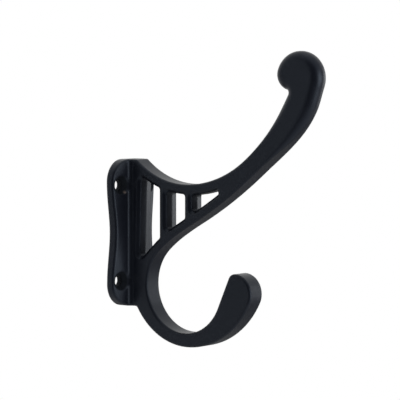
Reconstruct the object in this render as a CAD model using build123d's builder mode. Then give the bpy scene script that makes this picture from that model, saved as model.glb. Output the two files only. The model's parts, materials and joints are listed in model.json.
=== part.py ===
"""Cast hat and coat hook: a screwed backplate, a pierced web, a ball-ended upper arm and a lower hook.

Frame: +Z up, the wall is the plane Y = 0, the hook stands out towards -Y, and X = 0 is its plane of
symmetry. The origin is the middle of the backplate's wall face. Lengths are in millimetres, angles in
degrees. In the side view a place is given as its reach from the wall and its height.
"""

import os
from math import cos, degrees, radians, sin, sqrt, tan

from build123d import *

# Backplate
plate_height = 64.8
plate_width = 28.8
plate_waist_width = 25.0
plate_top_run_length = 0.15
plate_edge_thickness = 3.4
plate_crown_thickness = 5.2
edge_width = 0.6

# Screw holes
screw_spacing_width = 19.7
screw_spacing_height = 42.2
screw_clearance_diameter = 4.6
screw_head_diameter = 8.3
screw_head_angle = 90.0

# Web, where it leaves the plate and along the upper edge of the arm
web_thickness = 8.9
root_fillet_radius = 2.2
root_run_length = 0.8
brow_radius = 1.8
heel_radius = 1.5
valley_reach = 35.3
valley_height = 22.2
valley_radius = 51.5
waist_rise = 39.0
waist_width = 7.7
waist_run_length = 2.0

# Lower hook
throat_reach = 34.6
throat_height = -22.2
throat_radius = 20.3
throat_exit_rise = 43.0
belly_reach = 40.4
belly_height = 5.7
belly_rise = 29.0
lip_rise = 66.0
lip_length = 14.5
tip_inner_radius = 3.6
tip_outer_radius = 8.6
tip_turn = 117.0
keel_reach = 36.2
keel_width = 5.9

# Openings in the web, between its two rails and its two bars
upper_rail_width = 4.7
lower_rail_width = 4.6
jamb_reach_top = 11.3
jamb_reach_low = 10.0
bar_1_reach = 22.85
bar_2_reach = 36.85
bar_width = 4.7
end_window_length = 13.1
window_end_rise = 29.0
window_corner_radius = 0.9
window_end_roundness = 0.42
window_draft = 8.0
window_edge_width = 1.1

# Upper arm from its waist to its neck
neck_reach = 93.7
neck_height = 56.3
neck_rise = 61.0
neck_width = 14.3
neck_run_length = 1.0
arm_flare_power = 1.25
arm_spans = 4

# Ball end
head_flat_width = 0.7
ball_reach = 89.4
ball_height = 69.6
ball_radius = 6.7
crest_radius = 11.3
crest_join_angle = 160.0
crest_start_angle = -20.0
notch_radius = 1.2

# Derived sizes and places
half_plate = plate_height / 2
half_web = web_thickness / 2
plate_corner_radius = plate_width / 2 - half_web - plate_top_run_length
side_height = half_plate - plate_corner_radius
root_reach = plate_crown_thickness + root_fillet_radius
head_edge_radius = (web_thickness - head_flat_width) / 2
side_view = Plane(origin=(0, 0, 0), x_dir=(0, -1, 0), z_dir=(-1, 0, 0))
plan_view = Plane(origin=(0, 0, 0), x_dir=(1, 0, 0), z_dir=(0, 0, -1))


def heading(rise):
    """Unit direction in the side view that climbs at this angle as it goes out from the wall."""
    return Vector(cos(radians(rise)), sin(radians(rise)))


def ease(along):
    """Share of the change from waist to neck, level at both ends of the arm."""
    late = along**arm_flare_power
    return late * late * (3 - 2 * late)


brow = Vector(root_reach + root_run_length, half_plate)
heel = Vector(root_reach + root_run_length, -half_plate)
valley = Vector(valley_reach, valley_height)
throat_centre = Vector(throat_reach, throat_height)
throat_exit = throat_centre + heading(throat_exit_rise + 90) * throat_radius
belly = Vector(belly_reach, belly_height)
keel = Vector(keel_reach, throat_height - throat_radius - keel_width)

waist_inner = valley + Vector(sin(radians(waist_rise)), 1 - cos(radians(waist_rise))) * valley_radius
waist_outer = waist_inner + heading(waist_rise - 90) * waist_width
waist_middle = (waist_inner + waist_outer) / 2
belly_end = waist_outer - heading(waist_rise) * waist_run_length

neck_middle = Vector(neck_reach, neck_height)
neck_inner = neck_middle + heading(neck_rise + 90) * (neck_width / 2)
neck_outer = neck_middle + heading(neck_rise - 90) * (neck_width / 2)
ball_centre = Vector(ball_reach, ball_height)
crest_centre = ball_centre - heading(crest_join_angle) * (crest_radius - ball_radius)

lintel_middle = valley - Vector(0, upper_rail_width)
lintel_end = waist_inner + heading(waist_rise - 90) * upper_rail_width
sill_bend = throat_exit + heading(throat_exit_rise + 90) * lower_rail_width
sill_start = sill_bend - Vector(1, tan(radians(throat_exit_rise))) * (sill_bend.X - jamb_reach_low)
sill_middle = belly + heading(belly_rise + 90) * lower_rail_width
sill_end = belly_end + heading(waist_rise + 90) * lower_rail_width
lower_headings = [heading(throat_exit_rise), heading(belly_rise), heading(waist_rise)]
end_reach = bar_2_reach + bar_width / 2 + end_window_length
end_middle = (end_reach, (sill_middle.Y + lintel_end.Y) / 2)

crown_drop = plate_crown_thickness - plate_edge_thickness
crown_radius = ((plate_width / 2) ** 2 + crown_drop**2) / (2 * crown_drop)
screw_face_drop = crown_radius - sqrt(crown_radius**2 - (screw_spacing_width / 2) ** 2)
sink_radius = screw_head_diameter / 2 + screw_face_drop * tan(radians(screw_head_angle / 2))

# Front view of the backplate: waisted sides and rounded corners
with BuildSketch(Plane.XZ) as plate_outline:
    with BuildLine():
        side_ends = Vector(plate_width / 2, -side_height), Vector(plate_width / 2, side_height)
        side_waist = Vector(plate_waist_width / 2, 0)
        Spline(side_ends[0], side_waist, side_ends[1], tangents=[(0, 1), (0, 1), (0, 1)])
        for end in (-1, 1):
            corner = JernArc((plate_width / 2, end * side_height), (0, end), plate_corner_radius, end * 90)
            Line(corner @ 1, (0, end * half_plate))
        mirror(about=Plane.YZ)
    make_face()

# Plan section of the backplate: a crowned face that sweeps up into the root of the web
with BuildSketch(plan_view) as plate_section:
    with Locations((0, plate_crown_thickness - crown_radius)):
        Circle(crown_radius)
    with Locations((0, root_reach / 2)):
        Rectangle(2 * crown_radius, root_reach, mode=Mode.INTERSECT)
        Rectangle(web_thickness, root_reach)
    root_corners = plate_section.vertices().group_by(Axis.Y)[-2]
    fillet(root_corners, root_fillet_radius)

# Side view of the web and the lower hook, cut square across the arm at its waist
with BuildSketch(side_view) as hook_outline:
    with BuildLine():
        brow_curve = TangentArc(valley, brow, tangent=(-1, 0))
        JernArc(valley, (1, 0), valley_radius, waist_rise)
        Polyline(waist_inner, waist_outer, belly_end)
        Spline(throat_exit, belly, belly_end, tangents=lower_headings)
        throat = CenterArc(
            throat_centre, throat_radius, throat_exit_rise + 90, 180 + lip_rise - throat_exit_rise
        )
        lip = PolarLine(throat @ 1, lip_length, lip_rise)
        tip_inner = JernArc(lip @ 1, lip % 1, tip_inner_radius, -lip_rise)
        tip_outer = JernArc(tip_inner @ 1, tip_inner % 1, tip_outer_radius, -tip_turn)
        keel_curve = TangentArc(tip_outer @ 1, keel, tangent=tip_outer % 1)
        TangentArc(keel, heel, tangent=keel_curve % 1)
        Polyline(heel, (0, -half_plate), (0, half_plate), brow)
    make_face()
    fillet(hook_outline.vertices().sort_by_distance(brow)[0], brow_radius)
    fillet(hook_outline.vertices().sort_by_distance(heel)[0], heel_radius)

# Openings of the web: what lies above the sill and below the lintel, less the bars
with BuildSketch(side_view) as window:
    with BuildLine():
        Line(sill_start, sill_bend)
        Spline(sill_bend, sill_middle, sill_end, tangents=(lower_headings[0], lower_headings[-1]))
        above = Vector(sill_end.X, plate_height), Vector(jamb_reach_top, plate_height)
        Polyline(sill_end, *above, (jamb_reach_top, half_plate), sill_start)
    make_face()
    with BuildLine():
        brow_fall = -degrees(brow_curve.length / brow_curve.radius)
        lintel_start = brow + heading(brow_fall - 90) * upper_rail_width
        upper_headings = [heading(brow_fall), heading(0), heading(waist_rise)]
        Spline(lintel_start, lintel_middle, lintel_end, tangents=upper_headings)
        low_start = Vector(lintel_start.X, -half_plate)
        low_end = Vector(lintel_end.X, -half_plate)
        Polyline(lintel_start, low_start, low_end, lintel_end)
    make_face(mode=Mode.INTERSECT)
    with Locations((bar_1_reach, 0), (bar_2_reach, 0)):
        Rectangle(bar_width, plate_height, mode=Mode.SUBTRACT)
    with Locations(Location(end_middle, window_end_rise)):
        Rectangle(plate_height, plate_height, align=(Align.MIN, Align.CENTER), mode=Mode.SUBTRACT)
    window_end = window.edges().sort_by(Axis.X)[-1]
    fillet(window_end.vertices(), window_end.length * window_end_roundness)
    corners = window.vertices().sort_by(Axis.X)[:-4]
    fillet(corners.sort_by_distance(sill_bend)[1:], window_corner_radius)

# Upper arm: rounded sections that widen and soften from the waist to the neck
with BuildLine() as arm_spine:
    Spline(waist_middle, neck_middle, tangents=(heading(waist_rise), heading(neck_rise)))

with BuildPart() as arm:
    for station in range(arm_spans + 1):
        along = station / arm_spans
        width = waist_width + (neck_width - waist_width) * ease(along)
        middle = side_view.from_local_coords(arm_spine.line @ along)
        onward = side_view.from_local_coords(arm_spine.line % along)
        across = Plane(middle, x_dir=(1, 0, 0), z_dir=onward)
        with BuildSketch(across) as section:
            Rectangle(web_thickness, width)
            if station == 0:
                chamfer(section.vertices(), edge_width)
            else:
                fillet(section.vertices(), edge_width + (head_edge_radius - edge_width) * ease(along))
    loft()

# Ball end: a crest that curls over into a ball, cut square across the neck
with BuildPart() as head:
    with BuildSketch(side_view) as head_outline:
        with BuildLine():
            ball_ring = CenterArc(ball_centre, ball_radius, 0, 360, mode=Mode.PRIVATE)
            nick = IntersectingLine(neck_inner, heading(neck_rise), ball_ring)
            crest = CenterArc(
                crest_centre, crest_radius, crest_start_angle, crest_join_angle - crest_start_angle
            )
            TangentArc(crest @ 1, nick @ 1, tangent=crest % 1)
            nape = PolarLine(neck_outer, neck_run_length, neck_rise)
            Spline(nape @ 1, crest @ 0, tangents=(nape % 1, crest % 0))
            Line(neck_inner, neck_outer)
        make_face()
        fillet(head_outline.vertices().sort_by_distance(nick @ 1)[0], notch_radius)
    extrude(amount=half_web, both=True)
    rims = head.faces().filter_by(Axis.X).edges()
    neck_edges = head.faces().sort_by_distance(side_view.from_local_coords(neck_middle))[0].edges()
    fillet([rim for rim in rims if rim not in neck_edges], head_edge_radius)

# The casting: plate and web with one soft edge all round, pierced, then arm, ball end and holes
with BuildPart() as coat_hook:
    extrude(plate_section.sketch, amount=plate_height, both=True)
    extrude(plate_outline.sketch, amount=root_reach, mode=Mode.INTERSECT)
    extrude(hook_outline.sketch, amount=half_web, both=True)
    for hand in (-half_web, half_web):
        long_edge = coat_hook.edges().sort_by_distance((hand, -valley_reach, valley_height))[0]
        chamfer(long_edge, edge_width)
    extrude(window.sketch, amount=half_web, both=True, taper=-window_draft, mode=Mode.SUBTRACT)
    window_edges = [
        edge
        for face in coat_hook.faces().filter_by(Axis.X)
        for wire in face.inner_wires()
        for edge in wire.edges()
    ]
    chamfer(window_edges, window_edge_width)
    add(arm.part)
    add(head.part)
    with Locations(Plane((0, -plate_crown_thickness, 0), x_dir=(1, 0, 0), z_dir=(0, -1, 0))):
        with GridLocations(screw_spacing_width, screw_spacing_height, 2, 2):
            CounterSinkHole(
                screw_clearance_diameter / 2, sink_radius, counter_sink_angle=screw_head_angle
            )

os.makedirs("parts", exist_ok=True)
coat_hook.part.label = "coat_hook"
export_step(coat_hook.part, "parts/coat_hook.step")
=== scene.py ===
"""Studio picture of the black cast coat hook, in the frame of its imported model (metres, +Z up)."""

import json
from math import cos, radians, sin

import bpy
from mathutils import Matrix, Vector

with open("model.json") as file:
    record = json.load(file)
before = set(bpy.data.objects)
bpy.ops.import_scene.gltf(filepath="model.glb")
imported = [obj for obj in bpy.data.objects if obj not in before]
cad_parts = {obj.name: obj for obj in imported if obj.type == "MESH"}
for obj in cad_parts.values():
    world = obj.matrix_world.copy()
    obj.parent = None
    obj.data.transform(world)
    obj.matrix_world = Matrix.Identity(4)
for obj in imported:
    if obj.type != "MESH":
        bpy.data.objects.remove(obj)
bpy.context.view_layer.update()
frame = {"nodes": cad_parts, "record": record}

scene = bpy.context.scene
scene.view_settings.view_transform = "Standard"

# The photograph's camera
LENS = 182.25
SENSOR_WIDTH = 36.0
EYE = Vector((-0.68751, -0.57775, 0.06892))
LOOK = Vector((0.7865, 0.6145, -0.0611))

# Colours of the coat (linear red, green, blue), with the painted shade of its countersinks and a painted
# warm glint
COAT_DEEP = (0.0044, 0.0052, 0.0085)
COAT_THIN = (0.0062, 0.0072, 0.0115)
COAT_RUBBED = (0.016, 0.0165, 0.018)
SINK_PAINTED_SHADE = (0.0022, 0.0025, 0.0036)
GLINT_PAINT = (0.105, 0.082, 0.070)

# Sheen: strength and tint of the reflections, and the roughness of the coat's plain, flecked,
# rubbed and sunk places
SHEEN_LEVEL = 0.22
SHEEN_TINT = (0.70, 0.83, 1.0, 1.0)
ROUGHNESS = (0.31, 0.38)
FLECK_ROUGHNESS = 0.10
RUBBED_GLOSS = 0.07
SUNK_ROUGHNESS = 0.4

# Skin: fineness of the patterns (per metre), softness of the edges, and the waves of the enamel
GRAIN = 2600.0
MOTTLE = 180.0
CLOUD = 34.0
EDGE_RADIUS = 0.0012
EDGE_BEND = (0.995, 0.86)
RUBBED_MOST = 0.55
GRAIN_HEIGHT = 0.35
WAVE_STRENGTH = 0.14
WAVE_HEIGHT = 0.00022

# Screw holes: how far each lies from the plate's middle, its countersink, and a painted glint on one rim
spacing = next(mount for mount in frame["record"]["mounts"] if mount["name"] == "screw_holes")["dims"]
HOLE_X = spacing["spacing_x_mm"] / 2000
HOLE_Z = spacing["spacing_y_mm"] / 2000
SINK_RIM = (0.00425, 0.00395)
PLATE_BACK = -0.0003
GLINT_PLACE = (-0.0075, -0.0045, 0.0181)
GLINT_SIZE = (0.0011, 0.0004)

# Studio: the middle of the hook, the floor below it, and the even light of the surroundings
MIDDLE = Vector((0.0, -0.045, 0.018))
FLOOR_HEIGHT = -0.45
FLOOR_RADIUS = 0.9
FLOOR_SHADE = 0.94
LEVEL = 0.6
WHITE = (1.0, 1.0, 1.0, 1.0)


class Nodes:
    """Short hand for filling an empty tree with linked shader nodes."""

    def __init__(self, owner):
        owner.use_nodes = True
        self.tree = owner.node_tree
        self.tree.nodes.clear()

    def add(self, kind, **values):
        node = self.tree.nodes.new(kind)
        for name, value in values.items():
            setattr(node, name, value)
        return node

    def link(self, out, into):
        self.tree.links.new(out, into)

    def math(self, operation, a, b=None):
        node = self.add("ShaderNodeMath", operation=operation)
        for socket, value in zip(node.inputs, (a, b)):
            if value is None:
                continue
            if isinstance(value, (int, float)):
                socket.default_value = value
            else:
                self.link(value, socket)
        return node.outputs[0]

    def vector(self, operation, a, b):
        node = self.add("ShaderNodeVectorMath", operation=operation)
        for socket, value in zip(node.inputs, (a, b)):
            if isinstance(value, tuple):
                socket.default_value = value
            else:
                self.link(value, socket)
        return node.outputs["Value"]

    def noise(self, place, scale, detail, rough):
        node = self.add("ShaderNodeTexNoise")
        self.link(place, node.inputs["Vector"])
        node.inputs["Scale"].default_value = scale
        node.inputs["Detail"].default_value = detail
        node.inputs["Roughness"].default_value = rough
        return node.outputs["Fac"]

    def remap(self, value, given, wanted=(0.0, 1.0), smooth=False):
        """Value whose given low and high become the wanted ones, held at both ends."""
        node = self.add("ShaderNodeMapRange")
        if smooth:
            node.interpolation_type = "SMOOTHSTEP"
        self.link(value, node.inputs["Value"])
        node.inputs["From Min"].default_value, node.inputs["From Max"].default_value = given
        node.inputs["To Min"].default_value, node.inputs["To Max"].default_value = wanted
        return node.outputs["Result"]

    def mix(self, share, a, b):
        node = self.add("ShaderNodeMix", data_type="RGBA")
        self.link(share, node.inputs["Factor"])
        for name, value in (("A", a), ("B", b)):
            socket = [s for s in node.inputs if s.name == name and s.type == "RGBA"][0]
            if isinstance(value, tuple):
                socket.default_value = value + (1.0,)
            else:
                self.link(value, socket)
        return [s for s in node.outputs if s.type == "RGBA"][0]


def black_coat():
    """Satin blue-black enamel on a casting: fine grain, soft edges, a little rubbed along them, with painted
    shade in the countersinks and a painted glint on one rim.
    """
    material = bpy.data.materials.new("black_coat")
    nodes = Nodes(material)
    place = nodes.add("ShaderNodeTexCoord").outputs["Object"]

    grain = nodes.noise(place, GRAIN, detail=2.0, rough=0.6)
    mottle = nodes.noise(place, MOTTLE, detail=4.0, rough=0.6)
    cloud = nodes.noise(place, CLOUD, detail=3.0, rough=0.5)

    # Soft edges of the casting, and where they are
    soft = nodes.add("ShaderNodeBevel", samples=8)
    soft.inputs["Radius"].default_value = EDGE_RADIUS
    crisp = nodes.add("ShaderNodeNewGeometry")
    bend = nodes.vector("DOT_PRODUCT", soft.outputs["Normal"], crisp.outputs["Normal"])
    edge = nodes.remap(bend, EDGE_BEND, smooth=True)

    # Colour: near black with a breath of blue, a shade greyer where hands rub the edges
    rubbed = nodes.math("MULTIPLY", edge, nodes.remap(mottle, (0.42, 0.68), (0.0, RUBBED_MOST)))
    shade = nodes.mix(nodes.remap(cloud, (0.3, 0.7)), COAT_DEEP, COAT_THIN)
    colour = nodes.mix(rubbed, shade, COAT_RUBBED)

    # Sheen: satin, clouded by the dipping, with a fine dull fleck, and polished where it is rubbed
    satin = nodes.remap(cloud, (0.25, 0.75), ROUGHNESS)
    flecks = nodes.math("MULTIPLY", nodes.math("SUBTRACT", grain, 0.5), FLECK_ROUGHNESS)
    polish = nodes.math("MULTIPLY", rubbed, RUBBED_GLOSS)
    rough = nodes.math("SUBTRACT", nodes.math("ADD", satin, flecks), polish)

    # Countersinks: painted shade makes the coat darker there, and the coat is rougher
    where = nodes.add("ShaderNodeSeparateXYZ")
    nodes.link(place, where.inputs[0])
    across = nodes.math("SUBTRACT", nodes.math("ABSOLUTE", where.outputs["X"]), HOLE_X)
    along = nodes.math("SUBTRACT", nodes.math("ABSOLUTE", where.outputs["Z"]), HOLE_Z)
    squares = nodes.math("ADD", nodes.math("MULTIPLY", across, across), nodes.math("MULTIPLY", along, along))
    inside = nodes.remap(nodes.math("SQRT", squares), SINK_RIM)
    sink_shade_and_dullness = nodes.math("MULTIPLY", inside, nodes.math("LESS_THAN", where.outputs["Y"], PLATE_BACK))
    rough = nodes.math("ADD", rough, nodes.math("MULTIPLY", sink_shade_and_dullness, SUNK_ROUGHNESS))
    colour = nodes.mix(sink_shade_and_dullness, colour, SINK_PAINTED_SHADE)

    # Painted glint: a small warm light spot on the rim of one countersink
    painted_glint = nodes.remap(nodes.vector("DISTANCE", place, GLINT_PLACE), GLINT_SIZE, smooth=True)
    painted_glint = nodes.math("MULTIPLY", painted_glint, nodes.remap(grain, (0.35, 0.6), (0.3, 1.0)))
    colour = nodes.mix(painted_glint, colour, GLINT_PAINT)

    # Skin: orange-peel waviness of the enamel over the fine grain of the sand mould
    height = nodes.math("ADD", nodes.math("MULTIPLY", grain, GRAIN_HEIGHT), mottle)
    bump = nodes.add("ShaderNodeBump")
    bump.inputs["Strength"].default_value = WAVE_STRENGTH
    bump.inputs["Distance"].default_value = WAVE_HEIGHT
    nodes.link(height, bump.inputs["Height"])
    nodes.link(soft.outputs["Normal"], bump.inputs["Normal"])

    shader = nodes.add("ShaderNodeBsdfPrincipled")
    nodes.link(colour, shader.inputs["Base Color"])
    nodes.link(rough, shader.inputs["Roughness"])
    nodes.link(bump.outputs["Normal"], shader.inputs["Normal"])
    shader.inputs["Specular IOR Level"].default_value = SHEEN_LEVEL
    shader.inputs["Specular Tint"].default_value = SHEEN_TINT
    nodes.link(shader.outputs["BSDF"], nodes.add("ShaderNodeOutputMaterial").inputs["Surface"])
    return material


def plain(name, shade):
    """Matt board or paper of one grey."""
    material = bpy.data.materials.new(name)
    nodes = Nodes(material)
    shader = nodes.add("ShaderNodeBsdfDiffuse")
    shader.inputs["Color"].default_value = (shade, shade, shade, 1.0)
    nodes.link(shader.outputs["BSDF"], nodes.add("ShaderNodeOutputMaterial").inputs["Surface"])
    return material


def facing_hook(bearing, height, far):
    """Place and turn of a thing that faces the hook, at a bearing from the view's far side to its right."""
    ahead = Vector((LOOK.x, LOOK.y, 0.0)).normalized()
    right = Vector((ahead.y, -ahead.x, 0.0))
    level = ahead * cos(radians(bearing)) + right * sin(radians(bearing))
    way = level * cos(radians(height)) + Vector((0.0, 0.0, sin(radians(height))))
    turn = (-way).to_track_quat("-Z", "Y").to_matrix().to_4x4()
    return Matrix.Translation(MIDDLE + way * far) @ turn


def soft_box(name, bearing, height, far, size, watts):
    """Soft lamp that the coat mirrors as a broad light band."""
    data = bpy.data.lights.new(name, "AREA")
    data.shape = "ELLIPSE"
    data.size, data.size_y = size
    data.energy = watts
    lamp = bpy.data.objects.new(name, data)
    lamp.matrix_world = facing_hook(bearing, height, far)
    lamp.visible_camera = False
    scene.collection.objects.link(lamp)


def board(name, bearing, height, far, size, shade):
    """Board that only reflections show, as a darker part of the white surroundings."""
    bpy.ops.mesh.primitive_plane_add(size=1.0)
    card = bpy.context.object
    card.name = name
    card.matrix_world = facing_hook(bearing, height, far) @ Matrix.Diagonal((*size, 1.0, 1.0))
    card.visible_camera = False
    card.visible_diffuse = False
    card.visible_shadow = False
    card.data.materials.append(plain(name, shade))


hook = frame["nodes"]["coat_hook"]
hook.data.materials.clear()
hook.data.materials.append(black_coat())

# Pale floor, well clear below the hook as it hangs
bpy.ops.mesh.primitive_circle_add(
    vertices=96, radius=FLOOR_RADIUS, fill_type="NGON", location=(0.0, 0.0, FLOOR_HEIGHT)
)
floor = bpy.context.object
floor.name = "floor"
floor.data.materials.append(plain("pale_floor", FLOOR_SHADE))

# White surroundings: full white to the eye and in reflections, an even soft level on every surface
world = scene.world or bpy.data.worlds.new("studio")
scene.world = world
sky = Nodes(world)
rays = sky.add("ShaderNodeLightPath")
shown = sky.math("MAXIMUM", rays.outputs["Is Camera Ray"], rays.outputs["Is Glossy Ray"])
shown = sky.math("MAXIMUM", shown, rays.outputs["Is Transmission Ray"])
glow = sky.add("ShaderNodeBackground")
glow.inputs["Color"].default_value = WHITE
sky.link(sky.remap(shown, (0.0, 1.0), (LEVEL, 1.0)), glow.inputs["Strength"])
sky.link(glow.outputs["Background"], sky.add("ShaderNodeOutputWorld").inputs["Surface"])

# Soft lamps on the right, and a weak one overhead that lays the hook's shadow on the floor
soft_box("right_softbox", bearing=122, height=0, far=1.1, size=(0.9, 0.9), watts=7.5)
soft_box("back_softbox", bearing=62, height=0, far=1.1, size=(0.3, 0.8), watts=2.4)
soft_box("overhead", bearing=0, height=88, far=1.1, size=(0.6, 0.6), watts=0.6)

# The dark room behind the camera, a pale board on the left, a grey one low at the back
# and a narrow dark one on the right
board("dark_room", bearing=192, height=0, far=1.3, size=(2.2, 3.0), shade=0.01)
board("left_board", bearing=256, height=0, far=1.2, size=(1.2, 2.4), shade=0.95)
board("low_board", bearing=25, height=-40, far=0.45, size=(0.7, 0.6), shade=0.3)
board("narrow_board", bearing=84, height=0, far=0.5, size=(0.17, 0.5), shade=0.02)

camera_data = bpy.data.cameras.new("photograph")
camera_data.lens = LENS
camera_data.sensor_width = SENSOR_WIDTH
camera = bpy.data.objects.new("photograph", camera_data)
camera.matrix_world = Matrix.Translation(EYE) @ LOOK.to_track_quat("-Z", "Y").to_matrix().to_4x4()
scene.collection.objects.link(camera)
scene.camera = camera
